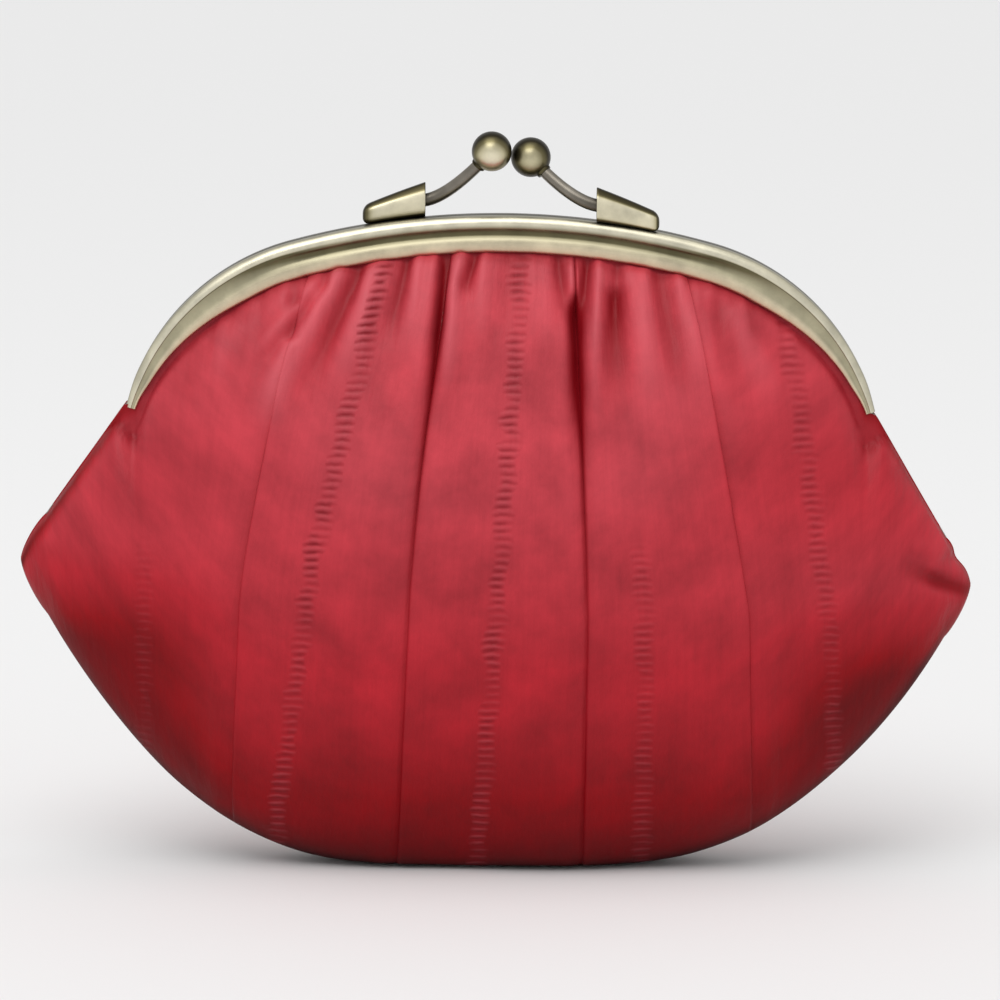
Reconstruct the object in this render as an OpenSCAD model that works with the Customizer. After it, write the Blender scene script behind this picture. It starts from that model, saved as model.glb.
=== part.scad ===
// Coin purse with an arched metal snap frame. Each half of the frame is a channel that holds the
// edge of the leather, and the halves turn on two rivets. The leather is joined from long strips,
// lined with cloth, and sewn round the bottom from corner to corner.
// X runs along the frame, the front faces -Y, and Z is up from the surface that the purse stands on.

/* [Frame] */
// Height of the top of the arch
arch_top = 124; // [115:1:130]
// Radius of the crown, the middle of the arch
crown_r = 150; // [130:5:170]
// Half angle of the crown
crown_angle = 15.5; // [14:0.5:17]
// Radius of the shoulders
shoulder_r = 44; // [42:1:46]
// Angle from the vertical at which each shoulder ends
shoulder_angle = 75; // [72:1:76]
// Height of the channel, from the top of the arch to its lip
channel_h = 6.2; // [5.5:0.1:6.5]
// Thickness of the channel from front to back
channel_t = 4.4; // [4.2:0.1:4.8]
// Wall of the channel
channel_wall = 0.7; // [0.6:0.05:0.8]
// Height of the hinge axis
hinge_z = 82; // [81:0.5:82.5]

/* [Clasp] */
// Middle of the clasp, to the right of the middle of the frame
clasp_x = 1.65; // [0:0.05:3]
// Distance between the middles of the two balls along the frame
ball_pitch = 7.6; // [7.5:0.05:8]
// Radius of each ball
ball_r = 3.7; // [3.5:0.05:3.7]
// Diameter of the stems
stem_d = 2.6; // [2:0.1:3]
// Length of each socket
socket_l = 12; // [10:0.5:13]
// Height of the mouth of a socket
socket_h = 6.6; // [6:0.1:7]

/* [Leather] */
// Half width of the purse from its middle to a corner
half_w = 90; // [86:1:94]
// Height of the corners
tip_z = 56; // [52:1:60]
// Greatest depth of the belly from the seam
belly_d = 21; // [17:1:23]
// Thickness of the leather
skin_t = 0.9; // [0.8:0.05:1]
// Thickness of the lining
lining_t = 0.5; // [0.4:0.05:0.6]

/* [Hidden] */
$fn = 64;
strip_edges = [-88.5, -49, -15.5, 16.5, 47.5, 88.5];

brass = [0.72, 0.68, 0.52];
dark_brass = [0.45, 0.43, 0.38];
red = [0.66, 0.12, 0.17];
lining_grey = [0.55, 0.52, 0.5];
paper = [0.72, 0.62, 0.46];

// Layers, as depths below the outer face of the leather
layer_gap = 0.2;
lining_off = skin_t + layer_gap;
parting = 0.1; // half the gap between the two halves of the frame

// The arch: a crown arc and two shoulder arcs that share a tangent
crown_z = arch_top - crown_r;
shoulder_x = (crown_r - shoulder_r) * sin(crown_angle);
shoulder_z = crown_z + (crown_r - shoulder_r) * cos(crown_angle);

// Hinge: flat ears at the ends of each channel, the rear ones inside the front ones
ear_r = 3.2;
ear_t = 0.8;
ear_gap = 0.2;
ear_top = 9;
rear_ear_x = 66.6;
front_ear_x = rear_ear_x + ear_t + ear_gap;
rivet_r = 1;
rivet_head_r = 1.9;
rivet_head_t = 0.6;
rivet_clearance = 0.05;

// Outline and bulge of the leather
sink = 2.5; // the soft bottom is pressed flat by this much
rim_drop = 4; // the body of a strip ends this far below the hinge axis at the hinges
rim_rise = 19; // and rises by this much in the middle
rim_half = 70;
top_gap = 3; // between the body of a strip and its top
tuck = 2.4; // the rim of the body is tucked in, so that the top swings past outside it
top_half = 59;
tuck_h = 9;
edge_start = 79.5;
hold_y = channel_t - channel_wall - 0.45; // outer face of the leather inside the channel
lip_gap = 0.5;

function smooth(t) = let (s = max(0, min(1, t))) s * s * (3 - 2 * s);
// Height of the arch over x, that far in from its outer line
function arch_z(x, inset) =
    abs(x) < (crown_r - inset) * sin(crown_angle)
        ? crown_z + sqrt(pow(crown_r - inset, 2) - x * x)
        : shoulder_z + sqrt(max(0, pow(shoulder_r - inset, 2) - pow(abs(x) - shoulder_x, 2)));
// The strips are gathered under the frame, so they narrow upwards
function fan(z) = 1 - 0.22 * smooth((z - tip_z) / (arch_top - tip_z));
// Height of the bottom seam under the column c, before it is pressed flat
function seam_z(c) =
    let (rise = tip_z * (1 - pow(max(0, 1 - pow(abs(c) / half_w, 2.78)), 0.909)))
    rise * (tip_z + sink) / tip_z - sink;
// Height of the side seam, from the hinge down to the corner
function side_z(c) =
    hinge_z + 1 - (hinge_z + 1 - tip_z)
        * (1 - pow(max(0, 1 - max(0, abs(c) - edge_start) / (half_w - edge_start)), 1.4));
function column_top(c, inset) = arch_z(c * fan(arch_z(c * 0.8, inset)), inset);
function leather_top(c) = abs(c) < rim_half ? column_top(c, channel_h) - lip_gap : side_z(c);
function rim_z(c) = abs(c) < rim_half
    ? hinge_z - rim_drop + rim_rise * sqrt(1 - pow(c / rim_half, 2))
    : min(hinge_z - rim_drop + (rim_drop + 1) * smooth((abs(c) - rim_half - 5) / 3), side_z(c));
function belly(c) = belly_d * pow(max(0, 1 - pow(c / half_w, 2)), 0.75);
function belly_z(c) = 50 + 6 * pow(c / half_w, 2);
function held_y(c) = hold_y * (1 - smooth((abs(c) - rim_half) / 10));
// Depth of the leather in front of the seam, off below its outer face
function depth(c, z, off) =
    let (mid = belly_z(c), most = belly(c) - off, held = held_y(c) - off, foot = seam_z(c) + off)
    z < mid
        ? most * pow(max(0, 1 - pow((mid - z) / (mid - foot), 2.6)), 1 / 2.2)
        : held + (most - held)
            * pow(1 - pow(min(1, (z - mid) / (leather_top(c) - mid)), 2.2), 0.7);
function tuck_at(c, z) = tuck * smooth((rim_half - abs(c)) / 8) * smooth(1 - (rim_z(c) - z) / tuck_h);
function shell_point(c, z, off, drawn_in) =
    [c * fan(z) * (1 - off / half_w), -max(0.05, depth(c, z, off) - drawn_in), max(z, off)];

// Columns of a strip, evenly spaced between its edges, and of all the strips from end to end
function strip_columns(n, limit, gap, count) =
    let (a = max(-limit, strip_edges[n - 1]) + gap, b = min(limit, strip_edges[n]) - gap)
    [for (i = [0 : count]) a + (b - a) * i / count];
function all_columns(limit, count) = concat(
    [for (n = [1 : 5], i = [0 : count - 1]) strip_columns(n, limit, 0, count)[i]],
    [min(limit, strip_edges[5])]
);

// A curved sheet between two depths, over a list of columns
module sheet(columns, rows, outer, inner, is_top) {
    n = rows + 1;
    last = len(columns) - 1;
    function at(layer, i, j) = (layer * (last + 1) + i) * n + j;
    function row_z(c, j, off) = is_top
        ? let (low = rim_z(c) + top_gap)
            j == rows ? column_top(c, channel_h / 2) : low + (leather_top(c) - low) * j / (rows - 1)
        : let (low = seam_z(c) + off) low + (rim_z(c) - low) * pow(j / rows, 1.6);
    function spot(i, j, off) =
        let (c = columns[i], z = row_z(c, j, off))
        shell_point(c, z, off, is_top ? 0 : tuck_at(c, z));
    function quad(a, b, c, d) = [[a, b, c], [a, c, d]];
    points = [for (off = [outer, inner], i = [0 : last], j = [0 : rows]) spot(i, j, off)];
    faces = [
        for (i = [0 : last - 1], j = [0 : rows - 1]) each concat(
            quad(at(0, i, j), at(0, i, j + 1), at(0, i + 1, j + 1), at(0, i + 1, j)),
            quad(at(1, i, j), at(1, i + 1, j), at(1, i + 1, j + 1), at(1, i, j + 1))
        ),
        for (i = [0 : last - 1]) each concat(
            quad(at(0, i, 0), at(0, i + 1, 0), at(1, i + 1, 0), at(1, i, 0)),
            quad(at(0, i + 1, rows), at(0, i, rows), at(1, i, rows), at(1, i + 1, rows))
        ),
        for (j = [0 : rows - 1]) each concat(
            quad(at(0, 0, j + 1), at(0, 0, j), at(1, 0, j), at(1, 0, j + 1)),
            quad(at(0, last, j), at(0, last, j + 1), at(1, last, j + 1), at(1, last, j))
        )
    ];
    polyhedron(points, faces);
}

module on_face(face) {
    if (face == "rear") mirror([0, 1, 0]) children();
    else children();
}

// One strip of leather, from the bottom seam up to the rim of the body
module strip(face, n) {
    color(red) on_face(face) sheet(strip_columns(n, 90, 0.05, 6), 12, 0, skin_t, false);
}

// The gathered top of the strip, held in the channel
module strip_top(face, n) {
    color(red) on_face(face) sheet(strip_columns(n, top_half, 0.05, 4), 6, 0, skin_t, true);
}

module lining(face) {
    color(lining_grey) on_face(face)
        sheet([for (i = [1 : 29]) all_columns(90, 6)[i]], 12, lining_off, lining_off + lining_t, false);
}

module lining_top(face) {
    color(lining_grey) on_face(face)
        sheet(all_columns(top_half, 4), 6, lining_off, lining_off + lining_t, true);
}

// Sweeps an outline along the arch: the first child along the crown and the second, which is
// slimmer by a hair so that they join cleanly, along both shoulders. The x of an outline is minus
// its inset, and its y is its depth in front of the parting.
module along_arch(end_angle) {
    lap = 0.4;
    translate([0, 0, crown_z]) rotate([90, 0, 0]) rotate([0, 0, 90 - crown_angle])
        rotate_extrude(angle = 2 * crown_angle, $fn = 180) translate([crown_r, 0]) children(0);
    for (side = [0, 1]) mirror([side, 0, 0])
        translate([shoulder_x, 0, shoulder_z]) rotate([90, 0, 0]) rotate([0, 0, 90 - end_angle])
            rotate_extrude(angle = end_angle - crown_angle + lap, $fn = 180)
                translate([shoulder_r, 0]) children(1);
}

// Points of an arc about (x, y), from angle a to angle b in n steps
function arc(x, y, r, a, b, n) = [for (i = [0 : n]) let (t = a + (b - a) * i / n) [x + r * cos(t), y + r * sin(t)]];

// The channel has a rounded bead along its top, a cove below it and a flat band down to a beaded lip
module channel_outline(slim) {
    bead_r = 1.4;
    cove_r = 1.7;
    lip_r = 0.9;
    front = channel_t - channel_wall - 0.25; // front of the cavity
    polygon(concat(
        [[-channel_h + slim, parting + slim], [-slim, parting + slim]],
        arc(-bead_r, channel_t - 1.3, bead_r - slim, 0, 125, 10),
        arc(-2.9, channel_t + cove_r - 0.5, cove_r + slim, -60, -130, 7),
        arc(-channel_h + lip_r, channel_t - 0.72, lip_r - slim, 55, 180, 9),
        [[-channel_h + slim, front + slim], [-1 + slim, front + slim]],
        [[-1 + slim, parting + channel_wall - slim], [-channel_h + slim, parting + channel_wall - slim]]
    ));
}

// One ear of the hinge, in the plane across the frame, for the front half
module ear(x) {
    neck = [[-3.1, 0], [-3.9, 5], [-3.9, ear_top], [-0.9, ear_top], [-0.9, 4.5], [1.5, 2]];
    translate([x, 0, hinge_z]) rotate([90, 0, 90]) linear_extrude(ear_t) difference() {
        union() {
            circle(r = ear_r);
            polygon(neck);
        }
        circle(r = rivet_r + rivet_clearance);
    }
}

module half_frame(face) {
    ear_x = face == "front" ? front_ear_x : rear_ear_x;
    color(brass) on_face(face) {
        along_arch(shoulder_angle) {
            channel_outline(0);
            channel_outline(0.02);
        }
        for (side = [0, 1]) mirror([side, 0, 0]) ear(ear_x);
    }
}

module hinge_rivet(side) {
    ears = front_ear_x + ear_t - rear_ear_x;
    color(brass) mirror([side < 0 ? 1 : 0, 0, 0]) translate([rear_ear_x, 0, hinge_z])
        rotate([0, 90, 0]) {
            translate([0, 0, -rivet_clearance - rivet_head_t / 2])
                cylinder(r = rivet_r, h = ears + 2 * rivet_clearance + rivet_head_t);
            translate([0, 0, -rivet_clearance - rivet_head_t])
                cylinder(r = rivet_head_r, h = rivet_head_t);
            translate([0, 0, ears + rivet_clearance])
                cylinder(r = rivet_head_r, h = rivet_head_t);
        }
}

// The flat paper cord that wedges leather and lining in the channel
module packing_cord(face) {
    color(paper) on_face(face) along_arch(62) {
        translate([-4.6, parting + channel_wall + 0.05]) square([3.2, 0.75]);
        translate([-4.58, parting + channel_wall + 0.07]) square([3.16, 0.71]);
    }
}

// Clasp arms. Each is drawn for the front half, which has its arm on the right of the clasp,
// and turned half a circle about the middle of the clasp for the rear half.
stem_lean = 20; // the stems lean across, so that each ball rests on the far side of the other
stem_start = 12; // slope where a stem leaves its socket
stem_rise = 47; // slope of its upper part
stem_bend_r = 8;
stem_in = 6; // straight length inside the socket
stem_lower = 1.2; // straight length outside the socket
stem_above = 3.2; // height of the stem over the arch at the mouth of its socket
ball_x = ball_pitch / 2;
socket_far = 27.7; // from the middle of the clasp to the closed end of a socket
socket_slope = 20;
socket_half_t = 2.1;
socket_end_r = 1.9;
mouth_x = socket_far - socket_l;
arm_y = -(channel_t + parting) / 2;
bend_run = stem_bend_r * (sin(stem_rise) - sin(stem_start));
stem_upper = (mouth_x - ball_x - stem_lower * cos(stem_start) - bend_run) / cos(stem_rise);
hold = 0.03; // clearance of a stem in its socket and in its ball

function side_of(face) = face == "front" ? 1 : -1;
// Height of the arch under the mouth of a socket
function mouth_z(face) = arch_z(mouth_x + side_of(face) * clasp_x, 0);

module on_arm(face) {
    translate([clasp_x, 0, 0]) rotate([0, 0, face == "rear" ? 180 : 0]) children();
}

// The start of a stem, at the mouth of its socket, with X along the stem and Z under it
module at_mouth(face) {
    on_arm(face) translate([mouth_x, arm_y, mouth_z(face) + stem_above])
        rotate([-stem_lean, 0, 0]) rotate([0, stem_start - 180, 0]) children();
}

// The far end of a stem, where the middle of its ball is
module at_ball(face) {
    at_mouth(face) translate([stem_lower, 0, -stem_bend_r]) rotate([0, stem_rise - stem_start, 0])
        translate([stem_upper, 0, stem_bend_r]) children();
}

module clasp_stem(face) {
    lap = 0.2;
    color(dark_brass) {
        at_mouth(face) translate([-stem_in, 0, 0]) rotate([0, 90, 0])
            cylinder(d = stem_d, h = stem_in + stem_lower + lap);
        at_mouth(face) translate([stem_lower, 0, -stem_bend_r])
            rotate([90, 0, 0]) rotate([0, 0, 90]) mirror([0, 1, 0])
                rotate_extrude(angle = stem_rise - stem_start)
                    translate([stem_bend_r, 0]) circle(d = stem_d - 0.04);
        at_ball(face) translate([-stem_upper - lap, 0, 0]) rotate([0, 90, 0])
            cylinder(d = stem_d, h = stem_upper + lap - 1.6);
    }
}

module clasp_ball(face) {
    color(brass) at_ball(face) difference() {
        sphere(r = ball_r);
        translate([-ball_r - 1, 0, 0]) rotate([0, 90, 0])
            cylinder(d = stem_d + 2 * hold, h = ball_r + 1 - 1.5);
    }
}

// A ferrule of folded sheet on top of the arch, tapering away from the clasp to a round end
module clasp_socket(face) {
    run = socket_l - socket_end_r;
    end_h = socket_h - run * tan(socket_slope) - socket_end_r;
    color(brass) on_arm(face) difference() {
        translate([mouth_x, arm_y + socket_half_t, mouth_z(face)]) rotate([90, 0, 0])
            linear_extrude(2 * socket_half_t) polygon(concat(
                [[0, -6], [0, socket_h]],
                arc(run, end_h, socket_end_r, 70, 0, 7),
                [[socket_l, -6]]
            ));
        translate([-side_of(face) * clasp_x, 0, crown_z]) rotate([90, 0, 0])
            cylinder(r = crown_r + 0.03, h = 20, center = true, $fn = 720);
        translate([mouth_x, arm_y, mouth_z(face) + stem_above])
            rotate([-stem_lean, 0, 0]) rotate([0, 90 + stem_start, 0]) translate([0, 0, -3])
                cylinder(d = stem_d + 2 * hold, h = stem_in + 3 + hold);
    }
}

half_frame("front");  // front_frame
half_frame("rear");  // rear_frame
hinge_rivet(-1);  // left_hinge_rivet
hinge_rivet(1);  // right_hinge_rivet
clasp_socket("front");  // front_clasp_socket
clasp_socket("rear");  // rear_clasp_socket
clasp_stem("front");  // front_clasp_stem
clasp_stem("rear");  // rear_clasp_stem
clasp_ball("front");  // front_clasp_ball
clasp_ball("rear");  // rear_clasp_ball
packing_cord("front");  // front_packing_cord
packing_cord("rear");  // rear_packing_cord
lining("front");  // front_lining
lining("rear");  // rear_lining
lining_top("front");  // front_lining_top
lining_top("rear");  // rear_lining_top
for (face = ["front", "rear"], n = [1 : 5]) {
    strip(face, n);
    strip_top(face, n);
}
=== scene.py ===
import bmesh
import bpy
import math
import numpy as np
from mathutils import Matrix, Vector


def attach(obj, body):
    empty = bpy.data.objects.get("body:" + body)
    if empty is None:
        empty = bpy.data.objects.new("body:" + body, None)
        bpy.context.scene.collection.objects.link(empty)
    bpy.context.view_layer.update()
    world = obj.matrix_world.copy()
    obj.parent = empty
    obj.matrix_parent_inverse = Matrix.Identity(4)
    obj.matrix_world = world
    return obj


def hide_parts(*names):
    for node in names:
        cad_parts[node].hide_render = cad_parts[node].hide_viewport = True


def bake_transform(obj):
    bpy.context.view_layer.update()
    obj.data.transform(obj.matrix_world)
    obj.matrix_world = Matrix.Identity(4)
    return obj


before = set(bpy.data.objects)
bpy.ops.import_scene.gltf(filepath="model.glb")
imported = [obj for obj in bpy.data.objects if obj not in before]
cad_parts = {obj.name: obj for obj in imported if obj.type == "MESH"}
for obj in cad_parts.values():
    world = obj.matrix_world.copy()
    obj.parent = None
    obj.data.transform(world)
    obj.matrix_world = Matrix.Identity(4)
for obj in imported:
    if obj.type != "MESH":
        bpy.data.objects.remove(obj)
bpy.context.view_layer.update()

# ---------------------------------------------------------------------------------------------
# Leather strips. Ten long strips of dyed eel skin, five to a face, glued and sewn edge over edge.
# Their lower ends meet in a turned seam that runs round the bottom from corner to corner, and
# their upper ends are gathered and glued into the channel of the metal frame.
# ---------------------------------------------------------------------------------------------
MM = 0.001                 # all lengths here are in millimetres
SIDE = {"front": 1, "rear": -1}
TIP_X, TIP_Z = 90.0, 56.0  # the soft corners
TIP_FROM = 85.0            # the column at which a corner starts to close
FOOT_SINK = 2.5            # how far the foot would hang below the ground it is pressed on
BELLY, FLANK = 21.0, 1.1   # depth of the belly, and the part of it kept out to the corners
SKIN = 0.5                 # thickness of the skin
CROWN_R, CROWN_DEG = 150.0, 15.5       # the frame's crown: radius, and half its angle
SHOULDER_R, SHOULDER_DEG = 44.0, 75.0  # its shoulders: radius, and the angle where they end
ARCH_TOP = 124.0
CROWN_Z = ARCH_TOP - CROWN_R
SHOULDER_X = (CROWN_R - SHOULDER_R) * math.sin(math.radians(CROWN_DEG))
SHOULDER_Z = CROWN_Z + (CROWN_R - SHOULDER_R) * math.cos(math.radians(CROWN_DEG))
STRIP_EDGES = [-89.95, -49.0, -17.0, 16.5, 47.0, 89.95]
END_COLUMN = 68.0          # beyond this column the skin leaves the frame for the side seam
END_X = 68.6               # where that column meets the frame
HELD_Y = 3.2               # how far forward the skin lies inside the channel
LIP_W, LIP_LOSS = 6.8, 4.3  # width of the channel's face, and its loss at the hinges
ROOF, GRIP = 1.3, 0.45     # inset of the channel's roof, and how far down it the skin ends


def smooth(t):
    """An eased step from nought to one."""
    t = np.clip(t, 0.0, 1.0)
    return t * t * (3 - 2 * t)


def arch_z(x, inset):
    """Height of the arch over x, that far in from its outer line."""
    x = np.abs(x)
    crown = CROWN_Z + np.sqrt(np.maximum(0, (CROWN_R - inset) ** 2 - x ** 2))
    shoulder = SHOULDER_Z + np.sqrt(np.maximum(
        0, (SHOULDER_R - inset) ** 2 - (x - SHOULDER_X) ** 2))
    return np.where(x < (CROWN_R - inset) * math.sin(math.radians(CROWN_DEG)), crown, shoulder)


def lip_inset(x):
    """Width of the channel's face, which narrows towards the hinges."""
    return LIP_W - LIP_LOSS * np.clip((np.abs(x) - 50) / 20.8, 0, 1) ** 1.6


def bump(t, width):
    """A smooth hill of height one."""
    return np.exp(-(t / width) ** 2)


def top_x(c):
    """Where a column meets the frame: the middle ones are gathered, the outer ones fan out."""
    return np.interp(c, [-90, -70, -68, -60, -49, -17, 16.5, 47, 60, 68, 70, 90],
                     [-90, -70.9, -68.6, -55.0, -35.5, -9.2, 13.6, 34.2, 55.0, 68.6, 70.9, 90])


def foot_x(c):
    """Where a column meets the bottom seam."""
    return np.interp(c, [-90, -49, -17, 16.5, 47, 90], [-90, -50.6, -19.2, 16.1, 48.4, 90])


def corner(c, gap):
    """Closes the height between the corner and an edge in a round tip over the last 5 mm."""
    u = np.clip((np.abs(c) - TIP_FROM) / (TIP_X - TIP_FROM), 0, 1)
    return gap * (1 - u ** 1.15) ** 0.72


def foot_z(c):
    """The bottom seam, sunk a little where the purse stands on it."""
    at = np.minimum(np.abs(c), TIP_FROM)
    rise = TIP_Z * (1 - (1 - (at / TIP_X) ** 2.78) ** 0.909)
    deep = TIP_Z + FOOT_SINK
    return TIP_Z - corner(c, deep - rise * deep / TIP_Z)


def edge_z(c):
    """The upper edge from the end of the frame down to the corner."""
    at = np.minimum(np.abs(c), TIP_FROM)
    return TIP_Z + corner(c, np.interp(at, [END_COLUMN, 70, 90], [88.2, 87.3, 57.4]) - TIP_Z)


def head_z(c):
    """The cut edge of the skin: hidden in the channel, then along the side seam."""
    x = top_x(c)
    hidden = arch_z(x, ROOF + (lip_inset(x) - ROOF) * GRIP)
    return np.where(np.abs(c) < END_COLUMN, hidden, edge_z(c))


def lip_z(c):
    """Where the skin comes out of the channel."""
    x = np.minimum(np.abs(top_x(c)), END_X)
    past = smooth((np.abs(c) - END_COLUMN) / 6)
    under = arch_z(x, lip_inset(x) + 0.2)
    return under + (edge_z(c) - 0.3 - under) * past


# Folds of the gathered skin on the front: (x and z where one starts, x and z where it dies out,
# depth, half width), positive for a ridge and negative for a valley.
FRONT_FOLDS = [
    (-26.5, 114.0, -38.5, 89.0, -1.50, 1.4), (-30.5, 112.5, -43.5, 90.0, 1.45, 1.5),
    (-33.2, 111.0, -46.0, 94.0, -0.75, 1.1), (-39.5, 100.0, -44.5, 84.0, 1.10, 1.8),
    (-35.6, 110.0, -48.5, 97.0, 1.00, 1.2),
    (-38.2, 108.5, -51.0, 98.0, -0.85, 1.2), (-40.8, 107.5, -53.0, 97.0, 0.55, 1.4),
    (-23.2, 115.0, -31.0, 92.0, 1.30, 1.8), (-17.6, 116.0, -21.5, 100.0, -1.35, 1.0),
    (-15.2, 116.0, -18.6, 96.0, 0.95, 1.3), (-12.4, 116.5, -15.8, 90.0, 0.60, 1.4),
    (-4.6, 117.0, -9.2, 106.5, -1.50, 0.9), (-7.6, 117.0, -9.6, 106.0, 1.20, 1.1),
    (-8.6, 110.0, -11.0, 90.0, 1.20, 1.3), (-10.8, 116.0, -13.4, 88.0, -1.30, 0.9),
    (-3.0, 117.0, -5.0, 98.0, 0.60, 2.0), (1.6, 117.0, 1.0, 101.0, -0.50, 1.5),
    (7.6, 116.5, 8.4, 96.0, 0.60, 2.0), (10.6, 117.0, 12.6, 103.0, -1.40, 0.9),
    (13.3, 117.0, 13.6, 107.0, 1.50, 0.8), (13.8, 108.0, 14.9, 80.0, -1.70, 1.2),
    (16.4, 117.0, 14.6, 101.0, -1.40, 0.9),
    (21.6, 115.0, 21.2, 100.0, -0.90, 0.9), (21.4, 110.0, 21.8, 88.0, -1.45, 2.3),
    (18.2, 115.0, 17.2, 84.0, 1.00, 1.2), (25.6, 113.5, 27.0, 86.0, 0.90, 1.9),
    (29.5, 113.0, 33.5, 92.0, -1.00, 1.6), (33.4, 112.0, 37.4, 93.0, 0.80, 1.3),
    (40.0, 108.0, 46.0, 88.0, -0.50, 1.8),
    (43.5, 106.5, 51.0, 90.0, 0.50, 1.8), (48.0, 104.5, 57.0, 92.0, -0.40, 1.7),
    (-50.0, 103.5, -58.0, 90.0, 0.40, 2.0), (-56.0, 99.5, -63.0, 84.0, -0.45, 2.2),
    (91.0, 54.4, 75.0, 60.5, -2.30, 1.3), (78.0, 63.5, 88.0, 59.0, 0.55, 1.6),
    (90.0, 51.5, 74.0, 55.5, 0.70, 2.0), (-87.5, 58.5, -76.0, 57.0, -0.50, 1.8),
]
# Seams between strips: (column, depth at the frame, depth at the foot, which side lies on top)
SEAMS = [(-49.0, 0.45, 0.30, 1), (-17.0, 1.8, 0.55, 1),
         (16.5, 1.9, 0.60, 1), (47.0, 0.45, 0.30, -1)]
# The line down the eel's back on each strip: its place across the strip at the foot and at the
# frame, how strong it is, and the height above which it fades
SPINES = [(0.57, 0.57, 0.30, 66), (0.25, 0.56, 1.0, 200), (0.43, 0.57, 0.9, 200),
          (0.355, 0.35, 0.60, 66), (0.41, 0.26, 0.6, 200)]
# Slow waves of the slack skin: how fast each runs across, how fast up, its start and its height
SLACK = [(0.115, 0.020, 0.4, 0.50), (0.071, 0.047, 1.9, 0.40),
         (0.190, 0.013, 3.1, 0.26), (0.043, 0.083, 5.2, 0.35)]


def body(c, z):
    """The full shape of the soft bag without its folds, as depth in front of the side seam."""
    foot, lip = foot_z(c), lip_z(c)
    out = np.abs(c) / TIP_X
    # the fullest line climbs from 48 mm in the middle to the corners
    mid = 48 + 8 * out ** 2
    most = ((BELLY - FLANK) * np.maximum(0, 1 - out ** 2) ** 0.72
            + FLANK * np.sqrt(np.maximum(0, 1 - out ** 24)))
    held = HELD_Y * (1 - smooth((np.abs(c) - END_COLUMN - 1) / 9))
    low = np.clip((mid - z) / (mid - foot), 0, 1)
    high = np.clip((z - mid) / np.maximum(lip - mid, 0.5), 0, 1)
    y = np.where(z < mid, most * (1 - low ** 2.5) ** (1 / 2.15),
                 held + np.maximum(most - held, 0) * (1 - high ** 2.3) ** 0.66)
    # the columns draw together towards the frame and a little towards the foot
    t = np.clip((z - 50) / np.maximum(head_z(c) - 50, 1), 0, 1)
    down = np.clip((50 - z) / 50, 0, 1)
    x = c + (top_x(c) - c) * t ** (1.235 - 0.115 * np.tanh(c / 12)) + (foot_x(c) - c) * down
    return x, y, z


def folds(x, z, c, face):
    """Height of the folds, seams and slack over the body, and the painted shade at each point,
    which is negative for a painted highlight on a ridge. The rear has the front's folds mirrored."""
    side = SIDE[face]
    pleats = np.zeros_like(x)
    for x0, z0, x1, z1, depth, width in FRONT_FOLDS:
        px, pz = (x - side * x0), (z - z0)
        dx, dz = side * (x1 - x0), (z1 - z0)
        length = math.hypot(dx, dz)
        along = (px * dx + pz * dz) / length ** 2
        across = (px * dz - pz * dx) / length
        spread = width * (1 + 0.9 * np.clip(along, 0, 1.3))
        fading = smooth(along / 0.12 + 1) * (1 - smooth((along - 0.35) / 0.75))
        pleats += depth * bump(across, spread) * fading
    # fine gathers, which die out within about 8 mm below the channel
    below = np.maximum(lip_z(c) - z, 0)
    gather = 0.20 * np.sin(x * 1.18 + 1.3 * np.sin(x * 0.23)) + 0.13 * np.sin(x * 2.05 + 2.0 + side)
    pleats += gather * np.exp(-below / 8) * (1 - smooth((np.abs(x) - 52) / 10))
    up = np.clip(z / 115, 0, 1)
    grooves = np.zeros_like(x)
    laps = np.zeros_like(x)
    for column, top, foot, lap in SEAMS:
        d = c - column
        deep = foot + (top - foot) * smooth((up - 0.35) / 0.62)
        grooves -= deep * np.exp(-np.abs(d) / (0.36 + 0.34 * deep))
        upper = np.exp(-np.maximum(d * lap, 0) / 2.2) * smooth(d * lap / 0.7 + 0.35)
        laps += (0.42 + 0.22 * deep) * upper
        laps += 0.30 * bump(d * lap + 3.0, 1.7)
    slack = np.zeros_like(x)
    for w1, w2, p, a in SLACK:
        slack += a * np.sin(w1 * x + 0.9 * np.sin(w2 * z + p) + p * side) * np.cos(w2 * z * 1.7 + p)
    rim = smooth((lip_z(c) + 1.5 - z) / 3.5)
    # past the end of the frame the folds die out before the sewn edge
    rim = rim * (1 - smooth((np.abs(c) - END_COLUMN) / 4)
                 * (1 - smooth((edge_z(c) - z) / 2.0)))
    fade = rim * smooth((TIP_X - np.abs(c)) / 9) * smooth((z - foot_z(c)) / 9)
    # painted shade in the creases and seam grooves, and a painted shadow under the frame's lip
    crease = (np.clip(-(pleats * 0.48 + grooves * 0.62 + 0.03), 0, 0.92) * rim
              + 0.45 * bump(below - 0.4, 0.9))
    # painted highlight on the ridges of the upper folds
    crease -= np.clip(pleats * 0.55 + 0.16 * slack, 0, 0.7) * fade * smooth((z - 62) / 16)
    near_edge = rim * smooth((TIP_X - np.abs(c)) / 3) * smooth((z - foot_z(c)) / 2)
    return (pleats + slack) * fade + (grooves + laps) * near_edge, crease


def grid_faces(columns, rows):
    """The four-sided faces of a grid of points."""
    i, j = np.meshgrid(np.arange(columns - 1), np.arange(rows - 1), indexing="ij")
    a = (i * rows + j).ravel()
    return np.stack([a, a + rows, a + rows + 1, a + 1], axis=1)


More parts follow.
